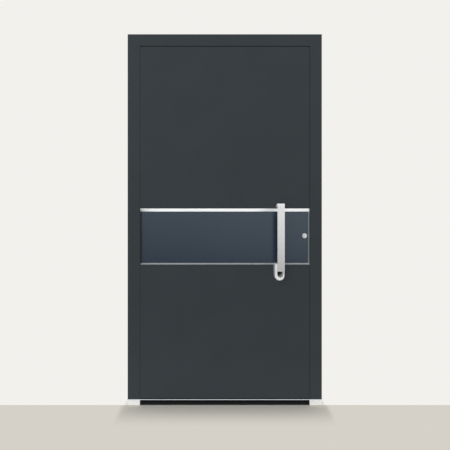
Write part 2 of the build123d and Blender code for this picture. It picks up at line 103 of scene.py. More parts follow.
def tint(finish, value, dark, light, start=0.35, end=0.65):
    """Base colour that runs from dark to light as the value goes from start to end."""
    ramp = finish.node_tree.nodes.new("ShaderNodeValToRGB")
    low, high = ramp.color_ramp.elements
    low.position = start
    low.color = (*dark, 1)
    high.position = end
    high.color = (*light, 1)
    finish.node_tree.links.new(value, ramp.inputs["Fac"])
    shader = finish.node_tree.nodes["Principled BSDF"]
    finish.node_tree.links.new(ramp.outputs["Color"], shader.inputs["Base Color"])


def spread_roughness(finish, value, smooth, rough):
    """Roughness that follows the value between two limits."""
    limits = finish.node_tree.nodes.new("ShaderNodeMapRange")
    limits.inputs["From Min"].default_value = noise_span[0]
    limits.inputs["From Max"].default_value = noise_span[1]
    limits.inputs["To Min"].default_value = smooth
    limits.inputs["To Max"].default_value = rough
    finish.node_tree.links.new(value, limits.inputs["Value"])
    shader = finish.node_tree.nodes["Principled BSDF"]
    finish.node_tree.links.new(limits.outputs["Result"], shader.inputs["Roughness"])


def relief(finish, value, depth):
    """Bump of the given depth in metres, laid over any bump that the finish has already."""
    bump = finish.node_tree.nodes.new("ShaderNodeBump")
    bump.inputs["Distance"].default_value = depth
    shader = finish.node_tree.nodes["Principled BSDF"]
    under = shader.inputs["Normal"].links
    if under:
        finish.node_tree.links.new(under[0].from_socket, bump.inputs["Normal"])
    finish.node_tree.links.new(value, bump.inputs["Height"])
    finish.node_tree.links.new(bump.outputs["Normal"], shader.inputs["Normal"])


def powder_coat(name, colours):
    """Fine dry coat: a grain under a millimetre over faint clouds some 20 cm across."""
    finish = new_finish(name, coat_roughness[0], specular=coat_specular)
    tooth = noise(finish, coat_tooth, detail=2)
    cloud = noise(finish, coat_cloud, detail=4)
    tint(finish, blend_values(finish, cloud, tooth, coat_tooth_share), *colours)
    spread_roughness(finish, tooth, *coat_roughness)
    relief(finish, tooth, coat_tooth_depth)
    return finish


def dress(names, finish):
    """Give carried-over nodes their finish."""
    for name in names:
        node = frame["nodes"][name]
        node.data.materials.clear()
        node.data.materials.append(finish)


dress(frame_profiles, powder_coat("anthracite_frame", frame_colour))

# Insulating strips of the frame, the sill and the leaf's edge
# Glass-filled polyamide, drawn out black and dull, rolled into the profiles along their whole
# length. The drawing leaves fine streaks along the strip. The sill's strip is coloured a lighter
# grey, as painted light that lifts the shade under the leaf.
strip_colour = ((0.010, 0.010, 0.011), (0.020, 0.020, 0.021))
# Painted light: the sill's strip is lighter, to lift the shade in the gap under the leaf.
sill_strip_painted_light_colour = ((0.085, 0.090, 0.095), (0.105, 0.110, 0.116))
strip_roughness = (0.5, 0.7)
strip_specular = 0.3
strip_streaks = 420
strip_streak_depth = 0.00008
upright_streaks = (1, 1, 0.05)
level_streaks = (0.03, 1, 1)


def drawn_strip(name, colours, stretch):
    """Polyamide with streaks along the axis whose stretch is small."""
    finish = new_finish(name, strip_roughness[0], specular=strip_specular)
    streaks = noise(finish, strip_streaks, stretch)
    tint(finish, streaks, *colours)
    spread_roughness(finish, streaks, *strip_roughness)
    relief(finish, streaks, strip_streak_depth)
    return finish


dress(("frame_thermal_breaks", "leaf_edge_break"),
      drawn_strip("polyamide", strip_colour, upright_streaks))
dress(("threshold_break",), drawn_strip("sill_polyamide", sill_strip_painted_light_colour, level_streaks))

# Stop gasket round three sides of the frame
# A double-lipped rubber section, cut to a mitre at both upper corners and pressed into the
# stop's groove. The leaf's step closes against its two lips.
gasket_low, gasket_high = (np.array(corner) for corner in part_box("frame_stop_seal"))
gasket_width = 0.007
gasket_valley = 0.45
gasket_points = 40
lip_gap_share = 0.14
merge_distance = 1e-6
crease_degrees = 40
rubber_colour = ((0.008, 0.008, 0.009), (0.016, 0.016, 0.017))
rubber_roughness = (0.42, 0.6)
rubber_specular = 0.35
rubber_skin_grain = 700
rubber_grain_depth = 0.00005


def lip_section(width, height, valley, count):
    """Closed section of a seal: a flat foot, and over it height * |sin s| ** 0.5, less a valley
    in the middle that leaves a lip at each side. Returns distance across, and rise."""
    turn = np.arange(count) / count * 2 * np.pi
    across = width / 2 * (1 - np.cos(turn))
    dip = 1 - valley * np.exp(-((across / width - 0.5) / lip_gap_share) ** 2)
    rise = np.where(turn < np.pi, height * np.sqrt(np.abs(np.sin(turn))) * dip, 0.0)
    return across, rise


def capped(grid):
    """A tube's grid with both ends drawn in to their middles, so that it is closed."""
    first = np.broadcast_to(grid[:1].mean(axis=1, keepdims=True), grid[:1].shape)
    last = np.broadcast_to(grid[-1:].mean(axis=1, keepdims=True), grid[-1:].shape)
    return np.concatenate([first, grid, last])


def make_piece(name, grids, finish, body):
    """One object out of grids of points, rows by columns, each closed round its columns. Equal
    points are merged, faces turned outwards and edges sharper than the crease kept sharp."""
    points = []
    faces = []
    count = 0
    for grid in grids:
        rows, columns = grid.shape[:2]
        row, column = np.meshgrid(np.arange(rows - 1), np.arange(columns), indexing="ij")
        beside = (column + 1) % columns
        corners = (row * columns + column, row * columns + beside,
                   (row + 1) * columns + beside, (row + 1) * columns + column)
        faces.append(np.stack(corners, axis=-1).reshape(-1, 4) + count)
        points.append(grid.reshape(-1, 3))
        count += rows * columns
    mesh = bpy.data.meshes.new(name)
    mesh.from_pydata(np.concatenate(points), [], np.concatenate(faces))
    shape = bmesh.new()
    shape.from_mesh(mesh)
    bmesh.ops.remove_doubles(shape, verts=shape.verts, dist=merge_distance)
    bmesh.ops.recalc_face_normals(shape, faces=shape.faces)
    shape.to_mesh(mesh)
    shape.free()
    mesh.polygons.foreach_set("use_smooth", np.ones(len(mesh.polygons), dtype=bool))
    mesh.set_sharp_from_angle(angle=np.radians(crease_degrees))
    mesh.materials.append(finish)
    piece = bpy.data.objects.new(name, mesh)
    scene.collection.objects.link(piece)
    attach(piece, body)
    return piece


rubber = new_finish("rubber", rubber_roughness[0], specular=rubber_specular)
rubber_skin = noise(rubber, rubber_skin_grain)
tint(rubber, rubber_skin, *rubber_colour)
spread_roughness(rubber, rubber_skin, *rubber_roughness)
relief(rubber, rubber_skin, rubber_grain_depth)

gasket_height = gasket_high[1] - gasket_low[1]
across, rise = lip_section(gasket_width, gasket_height, gasket_valley, gasket_points)
side = np.array([-1, -1, 1, 1])[:, None]
at_head = np.array([False, True, True, False])[:, None]
gasket_x = side * (gasket_high[0] - across)
gasket_y = np.broadcast_to(gasket_low[1] + rise, gasket_x.shape)
gasket_z = np.where(at_head, gasket_high[2] - across, gasket_low[2])
gasket_grid = np.stack([gasket_x, gasket_y, gasket_z], axis=-1)
gasket = make_piece("stop_gasket", [capped(gasket_grid)], rubber, "frame")
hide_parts("frame_stop_seal")

# Joint gasket round the leaf
# A soft hollow rubber section in the coat's colour, set in the frame's edge just behind its face.
# It fills the joint to a faint line, deepest at the head, and the leaf's edge wipes past it as
# the door moves. Its three runs meet in mitres.
joint_colour = ((0.036, 0.043, 0.049), (0.042, 0.050, 0.057))
joint_roughness = (0.55, 0.7)
joint_specular = 0.2
joint_grain_depth = 0.00004
joint_fronts = (0.0013, 0.0046, 0.0027)
joint_depth = 0.008
joint_bite = 0.0006
joint_clearance = 0.0005
joint_squareness = 0.35
joint_points = 32

joint_rubber = new_finish("coat_rubber", joint_roughness[0], specular=joint_specular)
joint_skin = noise(joint_rubber, rubber_skin_grain)
tint(joint_rubber, joint_skin, *joint_colour)
spread_roughness(joint_rubber, joint_skin, *joint_roughness)
relief(joint_rubber, joint_skin, joint_grain_depth)

frame_edge_x = -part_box("frame_left_outer")[1][0]
frame_edge_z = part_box("frame_head_outer")[0][2]
frame_front_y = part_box("frame_left_outer")[0][1]
leaf_edge_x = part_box("leaf_outer_skin_upper")[1][0]
joint_width = frame_edge_x + joint_bite - leaf_edge_x - joint_clearance
turn = np.arange(joint_points) / joint_points * 2 * np.pi
squared_cos = np.sign(np.cos(turn)) * np.abs(np.cos(turn)) ** joint_squareness
squared_sin = np.sign(np.sin(turn)) * np.abs(np.sin(turn)) ** joint_squareness
joint_across = joint_width / 2 * (1 - squared_cos) - joint_bite
joint_x = side * (frame_edge_x - joint_across)
joint_z = np.where(at_head, frame_edge_z - joint_across, gasket_low[2])
joint_runs = []
for start, front in enumerate(joint_fronts):
    joint_y = frame_front_y + front + joint_depth / 2 * (1 - squared_sin)
    run = slice(start, start + 2)
    joint_run = np.broadcast_arrays(joint_x[run], joint_y, joint_z[run])
    joint_runs.append(capped(np.stack(joint_run, axis=-1)))
make_piece("joint_gasket", joint_runs, joint_rubber, "frame")

# Threshold plates
# Mill-finished aluminium: a narrow nose that shows outdoors as a light line under the leaf, and
# the plate indoors. Both are screwed down to the insulating base.
nose_colour = ((0.375, 0.395, 0.415), (0.43, 0.45, 0.47))
nose_roughness = (0.34, 0.48)
nose_metallic = 0.85
nose_lines = 500
nose_line_depth = 0.00004
along_x = (0.02, 1, 1)

nose_finish = new_finish("sill_aluminium", nose_roughness[0], metallic=nose_metallic)
drawn = noise(nose_finish, nose_lines, along_x)
tint(nose_finish, drawn, *nose_colour)
spread_roughness(nose_finish, drawn, *nose_roughness)
relief(nose_finish, drawn, nose_line_depth)
dress(("threshold_plate",), nose_finish)

# Threshold base and feet
# The base is a hard black foam block with a groove under the nose, sanded dull. At each post it
# ends at a white plastic packer that carries the post.
base_colour = ((0.0050, 0.0055, 0.0060), (0.0105, 0.0110, 0.0115))
base_roughness = (0.6, 0.8)
base_specular = 0.08
base_cells = 300
base_cell_depth = 0.00015
foot_colour = ((0.95, 0.955, 0.955), (0.98, 0.985, 0.985))
foot_roughness = 0.5
foot_specular = 0.4
foot_cloud = 60
foot_grain = 800
foot_grain_depth = 0.00004

base_finish = new_finish("black_block", base_roughness[0], specular=base_specular)
cells = noise(base_finish, base_cells, detail=4)
tint(base_finish, cells, *base_colour)
spread_roughness(base_finish, cells, *base_roughness)
relief(base_finish, cells, base_cell_depth)
dress(("threshold_base",), base_finish)

foot_finish = new_finish("white_packer", foot_roughness, specular=foot_specular)
moulding = noise(foot_finish, foot_cloud, detail=4)
tint(foot_finish, moulding, *foot_colour)
relief(foot_finish, noise(foot_finish, foot_grain), foot_grain_depth)
dress(("left_foot", "right_foot"), foot_finish)

# Screw heads
# Low round heads with a six-lobed socket, zinc-plated steel. They hold the sill plate, the
# strikes, the faceplate and the hinges.
screw_ring_radius = np.array([0, 0.36, 0.42, 0.60, 0.88, 1.0, 1.0, 0])
screw_ring_rise = np.array([0.15, 0.15, 1.0, 1.0, 0.85, 0.45, 0.0, 0.0])
screw_lobes = np.array([0, 0.14, 0.14, 0, 0, 0, 0, 0])
screw_lobe_count = 6
screw_columns = 36
plate_screw_radius = 0.0042
sill_screw_height = 0.0009
sill_screw_x = np.linspace(-0.42, 0.42, 5)
sill_screw_y = 0.024
zinc_colour = ((0.48, 0.49, 0.50), (0.62, 0.63, 0.64))
zinc_roughness = (0.3, 0.48)
zinc_cloud = 350

zinc = new_finish("zinc_plate", zinc_roughness[0], metallic=1.0)
zinc_grain = noise(zinc, zinc_cloud, detail=4)
tint(zinc, zinc_grain, *zinc_colour)
spread_roughness(zinc, zinc_grain, *zinc_roughness)


def axes_across(facing):
    """The facing direction, which is one of the main axes, and two unit vectors square to it."""
    facing = np.array(facing, dtype=float)
    first = np.roll(facing, 1)
    return facing, first, np.cross(facing, first)


def screw_heads(places, facing, radius, height):
    """A grid for each head: rings at their radius * (1 + lobe * cos 6a), round the facing axis,
    each raised off the plate by its share of the height."""
    facing, first, second = axes_across(facing)
    angle = np.arange(screw_columns) / screw_columns * 2 * np.pi
    swell = 1 + screw_lobes[:, None] * np.cos(screw_lobe_count * angle)
    reach = radius * screw_ring_radius[:, None] * swell
    flat = reach[..., None] * (np.cos(angle)[:, None] * first + np.sin(angle)[:, None] * second)
    head = flat + (height * screw_ring_rise)[:, None, None] * facing
    return [head + np.array(place) for place in places]


sill_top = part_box("threshold_plate")[1][2]
sill_screws = [(x, sill_screw_y, sill_top) for x in sill_screw_x]
sill_heads = screw_heads(sill_screws, (0, 0, 1), plate_screw_radius, sill_screw_height)
make_piece("sill_screws", sill_heads, zinc, "frame")

# Caps over the frame's fixing screws
# The frame is held by screws through its rebate, four in each post. A pressed plastic cap in the
# colour of the coat closes each hole.
cap_radius = 0.0062
cap_height = 0.0009
cap_ring_radius = np.array([0, 0.55, 0.85, 1.0, 1.0, 0])
cap_ring_rise = np.array([1.0, 0.94, 0.7, 0.3, 0.0, 0.0])
dome_columns = 32
fixing_z = np.linspace(0.2, 1.9, 4)
rebate_mid_y = 0.024
cap_roughness = 0.5
cap_specular = 0.3
cap_grain_scale = 900
cap_grain_depth = 0.00004

cap_finish = new_finish("cap_plastic", cap_roughness, specular=cap_specular)
cap_grain = noise(cap_finish, cap_grain_scale)
tint(cap_finish, cap_grain, *frame_colour)
relief(cap_finish, cap_grain, cap_grain_depth)


def domes(places, facing, radius, height):
    """A grid for each dome: rings of its outline turned round the facing axis."""
    facing, first, second = axes_across(facing)
    angle = np.arange(dome_columns) / dome_columns * 2 * np.pi
    round_way = np.cos(angle)[:, None] * first + np.sin(angle)[:, None] * second
    dome = radius * cap_ring_radius[:, None, None] * round_way
    dome = dome + height * cap_ring_rise[:, None, None] * facing
    return [dome + np.array(place) for place in places]


rebate_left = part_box("frame_left_inner")[1][0]
rebate_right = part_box("frame_right_inner")[0][0]
left_fixings = [(rebate_left, rebate_mid_y, z) for z in fixing_z]
right_fixings = [(rebate_right, rebate_mid_y, z) for z in fixing_z]
cap_grids = domes(left_fixings, (1, 0, 0), cap_radius, cap_height)
cap_grids += domes(right_fixings, (-1, 0, 0), cap_radius, cap_height)
make_piece("fixing_caps", cap_grids, cap_finish, "frame")

# Strike plates
# Brushed stainless strip let into the lock-side post, pierced for the latch, the dead bolt and
# the hooks, with a screw near each end.
steel_colour = ((0.56, 0.555, 0.54), (0.68, 0.675, 0.66))
steel_lines = 1500
steel_cloud = 14
steel_cloud_share = 0.35
steel_line_depth = 0.00002
steel_roughness = (0.26, 0.4)
along_z = (1, 1, 0.02)
edge_screw_radius = 0.004
edge_screw_height = 0.0006


def brushed_steel(name, colours, stretch, roughness=steel_roughness):
    """Stainless with a fine directional grain, drawn out along the axis whose stretch is small."""
    finish = new_finish(name, roughness[0], metallic=1.0)
    lines = noise(finish, steel_lines, stretch, detail=2)
    clouds = noise(finish, steel_cloud, detail=2)
    tint(finish, blend_values(finish, lines, clouds, steel_cloud_share), *colours)
    spread_roughness(finish, lines, *roughness)
    relief(finish, lines, steel_line_depth)
    return finish


upright_steel = brushed_steel("brushed_upright", steel_colour, along_z)
dress(("strike_plates",), upright_steel)
strike_low, strike_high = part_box("strike_plates")
strike_face_x = strike_low[0]
strike_mid_y = (strike_low[1] + strike_high[1]) / 2
strike_middles = np.array([0.418, 1.004, 1.667])
strike_screw_reach = np.array([0.057, 0.1, 0.057])
strike_screw_z = np.concatenate([strike_middles - strike_screw_reach,
                                 strike_middles + strike_screw_reach])
strike_screws = [(strike_face_x, strike_mid_y, z) for z in strike_screw_z]
strike_heads = screw_heads(strike_screws, (-1, 0, 0), edge_screw_radius, edge_screw_height)
make_piece("strike_screws", strike_heads, zinc, "frame")

# Hinges
# Three barrel hinges, aluminium bodies coated like the door on steel pins. A domed cap closes
# each end of the barrel, and three screws hold each plate.
hinge_colour = ((0.0350, 0.0420, 0.0480), (0.0410, 0.0490, 0.0560))
barrel_x, barrel_y, _ = frame["record"]["behaviour"]["joints"][0]["pos_m"]
barrel_radius = 0.01
hinge_cap_height = 0.003
hinge_screw_height = 0.0012
plate_screw_rows = (-0.042, 0.0, 0.042)
plate_screw_inset = 0.01
frame_plate_y = 0.045
leaf_plate_y = 0.043

hinge_finish = powder_coat("anthracite_hinge", hinge_colour)
hinge_caps = []
frame_screws = []
leaf_screws = []
for place in ("bottom", "middle", "top"):
    dress((f"hinge_{place}_frame", f"hinge_{place}_leaf"), hinge_finish)
    low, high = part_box(f"hinge_{place}_frame")
    mid_z = (low[2] + high[2]) / 2
    hinge_caps += domes([(barrel_x, barrel_y, high[2])], (0, 0, 1), barrel_radius, hinge_cap_height)
    hinge_caps += domes([(barrel_x, barrel_y, low[2])], (0, 0, -1), barrel_radius, hinge_cap_height)
    frame_plate_x = low[0] + plate_screw_inset
    leaf_plate_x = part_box(f"hinge_{place}_leaf")[1][0] - plate_screw_inset
    frame_screws += [(frame_plate_x, frame_plate_y, mid_z + row) for row in plate_screw_rows]
    leaf_screws += [(leaf_plate_x, leaf_plate_y, mid_z + row) for row in plate_screw_rows]
make_piece("hinge_end_caps", hinge_caps, hinge_finish, "frame")
for body, places in (("frame", frame_screws), ("leaf", leaf_screws)):
    hinge_heads = screw_heads(places, (0, 1, 0), plate_screw_radius, hinge_screw_height)
    make_piece(f"{body}_hinge_screws", hinge_heads, zinc, body)

# Leaf skins, stiles and rails
# Sheet aluminium glued over a mitred ring of profiles, all in one coat that matches the frame.
leaf_colour = ((0.0358, 0.0432, 0.0490), (0.0396, 0.0474, 0.0540))
leaf_shell = (
    "leaf_outer_skin_upper", "leaf_outer_skin_lower", "leaf_inner_skin", "leaf_hinge_stile",
    "leaf_lock_stile", "leaf_top_rail", "leaf_bottom_rail",
)
dress(leaf_shell, powder_coat("anthracite_leaf", leaf_colour))

# Foam core
# Rigid yellow foam, cut to the hollow of the ring and glued between the skins, so that it is
# closed in on all sides.
foam_colour = ((0.62, 0.55, 0.38), (0.80, 0.74, 0.55))
foam_roughness = 0.9
foam_specular = 0.2
foam_cell_scale = 250
foam_cell_depth = 0.0004

foam_finish = new_finish("rigid_foam", foam_roughness, specular=foam_specular)
foam_cells = noise(foam_finish, foam_cell_scale, detail=5)
tint(foam_finish, foam_cells, *foam_colour)
relief(foam_finish, foam_cells, foam_cell_depth)
dress(("leaf_core",), foam_finish)

# Bottom seal of the leaf
# A rubber section with two hanging lips, slid into the bottom rail, that wipes just over the
# threshold.
wiper_valley = 0.7
wiper_points = 40
wiper_low, wiper_high = (np.array(corner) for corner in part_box("leaf_bottom_seal"))
_, wiper_width, wiper_height = wiper_high - wiper_low
wiper_across, wiper_drop = lip_section(wiper_width, wiper_height, wiper_valley, wiper_points)
wiper_x = np.array([wiper_low[0], wiper_high[0]])[:, None]
wiper_y = wiper_low[1] + wiper_across
wiper_z = wiper_high[2] - wiper_drop
wiper_grid = np.stack(np.broadcast_arrays(wiper_x, wiper_y, wiper_z), axis=-1)
wiper = make_piece("bottom_wiper", [capped(wiper_grid)], rubber, "leaf")
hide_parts("leaf_bottom_seal")

# Recess panel
# A separate blue-grey sheet set back in the leaf, smoother than the coat round it, so that it
# takes a soft sheen towards one side.
panel_colour = ((0.0130, 0.0225, 0.0400), (0.0150, 0.0250, 0.0440))
panel_roughness = (0.2, 0.27)
panel_specular = 0.8
panel_sheen_colour = (0.8, 0.93, 1)
panel_tooth_scale = 1100
panel_tooth_depth = 0.000004
panel_tooth_share = 0.25
panel_cloud_scale = 4

panel_finish = new_finish("blue_grey_gloss", panel_roughness[0], specular=panel_specular)
panel_shader = panel_finish.node_tree.nodes["Principled BSDF"]
panel_shader.inputs["Specular Tint"].default_value = (*panel_sheen_colour, 1)
panel_tooth = noise(panel_finish, panel_tooth_scale, detail=2)
panel_cloud = noise(panel_finish, panel_cloud_scale, detail=3)
panel_field = blend_values(panel_finish, panel_cloud, panel_tooth, panel_tooth_share)
tint(panel_finish, panel_field, *panel_colour)
spread_roughness(panel_finish, panel_tooth, *panel_roughness)
relief(panel_finish, panel_tooth, panel_tooth_depth)
dress(("recess_panel",), panel_finish)

# Recess trims
# Four folded strips of bright anodised aluminium with mitred ends, which slope from the skins
# down to the panel. The side ones are narrow. Each strip has its own metallic level, set as a
# painted brightness, and the one at the hinges is coloured dark as painted shade.
trim_colour = ((0.95, 0.955, 0.96), (0.98, 0.985, 0.99))
painted_shade_trim_colour = ((0.19, 0.193, 0.197), (0.22, 0.223, 0.227))
trim_roughness = (0.3, 0.4)
trim_lines = 900
trim_line_depth = 0.00002


def anodised(name, colours, metallic, stretch):
    """Satin aluminium with its lines drawn out along the axis whose stretch is small. The less
    metallic it is, the more it takes up the even light, which serves as a painted brightness."""
    finish = new_finish(name, trim_roughness[0], metallic=metallic)
    lines = noise(finish, trim_lines, stretch, detail=2)
    tint(finish, lines, *colours)
    spread_roughness(finish, lines, *trim_roughness)
    relief(finish, lines, trim_line_depth)
    return finish


# Per strip: metallic levels set as painted brightness, and a dark colour on the left strip as
# painted shade.
for edge, colours, metallic, stretch in (
    ("top", trim_colour, 0.85, along_x),
    ("bottom", trim_colour, 0.57, along_x),
    ("left", painted_shade_trim_colour, 1.0, along_z),
    ("right", trim_colour, 0.7, along_z),
):
    dress((f"recess_trim_{edge}",), anodised(f"anodised_{edge}", colours, metallic, stretch))

# Lock cylinder, plug and outdoor rosette
# A nickel-plated brass cylinder in a turned stainless ring. Its plug carries the keyway, which
# is painted dark inside as shade, from just behind the plug's face.
ring_colour = ((0.60, 0.60, 0.60), (0.70, 0.70, 0.70))
ring_roughness = (0.3, 0.42)
all_ways = (1, 1, 1)
nickel_colour = ((0.74, 0.74, 0.73), (0.86, 0.86, 0.85))
nickel_roughness = (0.24, 0.36)
nickel_cloud = 700
keyway_shade_colour = (0.02, 0.02, 0.02)
keyway_shade_from = 0.0002
keyway_shade_full = 0.0008

nickel = new_finish("satin_nickel", nickel_roughness[0], metallic=1.0)
nickel_grain = noise(nickel, nickel_cloud)
tint(nickel, nickel_grain, *nickel_colour)
spread_roughness(nickel, nickel_grain, *nickel_roughness)
dress(("lock_cylinder",), nickel)


def object_axes(finish):
    """The three Object coordinates of a finish, in metres, as separate outputs."""
    place = finish.node_tree.nodes.new("ShaderNodeTexCoord")
    axes = finish.node_tree.nodes.new("ShaderNodeSeparateXYZ")
    finish.node_tree.links.new(place.outputs["Object"], axes.inputs["Vector"])
    return axes.outputs


plug_face_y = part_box("cylinder_plug")[0][1]
plug_finish = new_finish("plug_nickel", nickel_roughness[0], metallic=1.0)
# Painted shade: beyond a fraction of a millimetre behind its face, the plug turns dark inside the
# keyway.
depth = plug_finish.node_tree.nodes.new("ShaderNodeMapRange")
depth.inputs["From Min"].default_value = plug_face_y + keyway_shade_from
depth.inputs["From Max"].default_value = plug_face_y + keyway_shade_full
plug_finish.node_tree.links.new(object_axes(plug_finish)["Y"], depth.inputs["Value"])
tint(plug_finish, depth.outputs["Result"], nickel_colour[1], keyway_shade_colour, 0.0, 1.0)
spread_roughness(plug_finish, noise(plug_finish, nickel_cloud), *nickel_roughness)
dress(("cylinder_plug",), plug_finish)
dress(("cylinder_rosette",), brushed_steel("turned_ring", ring_colour, all_ways, ring_roughness))

# Indoor rosettes and lever
# Turned stainless cups, screwed through the leaf over the spindle and the cylinder, and a lever
# of bent round bar on the spindle.
cup_grain = (1, 1, 0.3)
lever_grain = (0.03, 1, 1)
dress(("lever_rosette", "inner_cylinder_rosette"),
      brushed_steel("cup_steel", steel_colour, cup_grain))
dress(("inside_lever",), brushed_steel("lever_steel", steel_colour, lever_grain))

# Indoor plug
# The key also works from indoors, in a nickel-plated plug turned to fit the cylinder's end. Its
# keyway stands upright.
indoor_plug_radius = 0.0062
indoor_plug_columns = 48
indoor_plug_proud = 0.0006
plug_bevel_reach = 0.95
plug_bevel_rise = 0.8
keyway_half_width = 0.0009
keyway_half_length = 0.0044
key_depth = 0.0004
cylinder_end_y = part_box("lock_cylinder")[1][1]
plug_low, plug_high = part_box("cylinder_plug")
lock_x = (plug_low[0] + plug_high[0]) / 2
lock_z = (plug_low[2] + plug_high[2]) / 2

plug_angle = (np.arange(indoor_plug_columns) + 0.5) / indoor_plug_columns * 2 * np.pi
slot_reach = np.minimum(keyway_half_width / np.abs(np.cos(plug_angle)),
                        keyway_half_length / np.abs(np.sin(plug_angle)))
round_reach = np.full_like(plug_angle, indoor_plug_radius)
plug_reach = np.stack([0 * slot_reach, slot_reach, slot_reach, plug_bevel_reach * round_reach,
                       round_reach, round_reach, 0 * round_reach])
keyway_floor = indoor_plug_proud - key_depth
plug_rise = np.array([keyway_floor, keyway_floor, indoor_plug_proud, indoor_plug_proud,
                      plug_bevel_rise * indoor_plug_proud, 0.0, 0.0])
plug_grid = np.stack([
    lock_x + plug_reach * np.cos(plug_angle),
    cylinder_end_y + plug_rise[:, None] + 0 * plug_reach,
    lock_z + plug_reach * np.sin(plug_angle),
], axis=-1)
make_piece("indoor_plug", [plug_grid], nickel, "leaf")

# Locking edge
# A long brushed faceplate on the leaf's edge, with zinc-plated latch, dead bolt and hooks drawn
# back in it.
faceplate_screw_end = 0.015
faceplate_screw_count = 6

dress(("lock_faceplate",), upright_steel)
dress(("latch_bolt", "dead_bolt", "hook_bolts"), zinc)
faceplate_low, faceplate_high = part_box("lock_faceplate")
faceplate_y = (faceplate_low[1] + faceplate_high[1]) / 2
faceplate_screw_z = np.linspace(faceplate_low[2] + faceplate_screw_end,
                                faceplate_high[2] - faceplate_screw_end, faceplate_screw_count)
faceplate_screws = [(faceplate_high[0], faceplate_y, z) for z in faceplate_screw_z]
faceplate_heads = screw_heads(faceplate_screws, (1, 0, 0), edge_screw_radius, edge_screw_height)
make_piece("faceplate_screws", faceplate_heads, zinc, "leaf")

# Pull bar
# A flat stainless bar, bent back to the leaf at its top and brushed along its length. The
# narrow edges of the bent end are painted paler and less metallic, a painted highlight on its side.
handle_colour = ((0.725, 0.725, 0.727), (0.79, 0.79, 0.793))
bar_roughness = (0.26, 0.34)
bend_highlight_colour = (0.93, 0.935, 0.94)
bend_highlight_above = (1.098, 1.104)
bend_highlight_band = (0.0012, 0.0002)
bar_metallic = 0.9

bar_finish = brushed_steel("bar_steel", handle_colour, along_z, bar_roughness)
bar_low, bar_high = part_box("pull_bar")
bar_half = (bar_high[0] - bar_low[0]) / 2
nodes = bar_finish.node_tree.nodes
links = bar_finish.node_tree.links
bar_axes = object_axes(bar_finish)
# Painted highlight: near the bar's edges above the bend, the colour turns pale and the metal dull.
from_middle = nodes.new("ShaderNodeMath")
from_middle.operation = "SUBTRACT"
from_middle.inputs[1].default_value = bar_low[0] + bar_half
links.new(bar_axes["X"], from_middle.inputs[0])
reach = nodes.new("ShaderNodeMath")
reach.operation = "ABSOLUTE"
links.new(from_middle.outputs["Value"], reach.inputs[0])
edge = nodes.new("ShaderNodeMapRange")
edge.inputs["From Min"].default_value = bar_half - bend_highlight_band[0]
edge.inputs["From Max"].default_value = bar_half - bend_highlight_band[1]
links.new(reach.outputs["Value"], edge.inputs["Value"])
bent_end = nodes.new("ShaderNodeMapRange")
bent_end.inputs["From Min"].default_value = bend_highlight_above[0]
bent_end.inputs["From Max"].default_value = bend_highlight_above[1]
links.new(bar_axes["Z"], bent_end.inputs["Value"])
bend_highlight_share = nodes.new("ShaderNodeMath")
bend_highlight_share.operation = "MULTIPLY"
links.new(edge.outputs["Result"], bend_highlight_share.inputs[0])
links.new(bent_end.outputs["Result"], bend_highlight_share.inputs[1])
bend_highlight_metallic = nodes.new("ShaderNodeMapRange")
bend_highlight_metallic.inputs["To Min"].default_value = bar_metallic
bend_highlight_metallic.inputs["To Max"].default_value = 0.0
links.new(bend_highlight_share.outputs["Value"], bend_highlight_metallic.inputs["Value"])
bar_shader = nodes["Principled BSDF"]
links.new(bend_highlight_metallic.outputs["Result"], bar_shader.inputs["Metallic"])
brushed_colour = bar_shader.inputs["Base Color"].links[0].from_socket
bend_highlight = nodes.new("ShaderNodeMix")
bend_highlight.data_type = "RGBA"
bend_highlight.inputs["B"].default_value = (*bend_highlight_colour, 1)
links.new(bend_highlight_share.outputs["Value"], bend_highlight.inputs["Factor"])
links.new(brushed_colour, bend_highlight.inputs["A"])
links.new(bend_highlight.outputs["Result"], bar_shader.inputs["Base Color"])
dress(("pull_bar",), bar_finish)

# Stirrup
# A milled stainless loop between the leaf and the lower end of the bar. Its mouth is drafted, so
# that the floor of the mouth rises towards the leaf, and it is blasted to a pale satin.
stirrup_colour = ((0.88, 0.885, 0.89), (0.94, 0.945, 0.95))
stirrup_roughness = (0.34, 0.44)
stirrup_metallic = 0.4
stirrup_walls = (0.013, 0.007, 0.015, 0.007)
stirrup_corner = 0.008
mouth_corner = 0.003
mouth_draft = 0.008
outer_rounding = 0.0025
mouth_rounding = 0.0015
rounding_steps = np.linspace(0, np.pi / 2, 6)
lower_turn = np.linspace(0, -np.pi, 41)
left_corner_turn = np.linspace(np.pi, np.pi / 2, 9)
right_corner_turn = np.linspace(np.pi / 2, 0, 9)


def loop_outline(left, right, low, high, corner):
    """Points round a loop: a half circle as its lower end, from (right, mid) through the bottom
    to (left, mid), then two quarter circles of the corner radius as its upper corners."""
    half = (right - left) / 2
    x = np.concatenate([(left + right) / 2 + half * np.cos(lower_turn),
                        left + corner + corner * np.cos(left_corner_turn),
                        right - corner + corner * np.cos(right_corner_turn)])
    z = np.concatenate([low + half + half * np.sin(lower_turn),
                        high - corner + corner * np.sin(left_corner_turn),
                        high - corner + corner * np.sin(right_corner_turn)])
    return x, z


def loop_row(sides, inset, corner, y):
    """One row of the stirrup: its outline drawn in by the inset on every side, at depth y."""
    left, right, low, high = sides
    x, z = loop_outline(left + inset, right - inset, low + inset, high - inset, corner - inset)
    return np.stack([x, np.full_like(x, y), z], axis=-1)


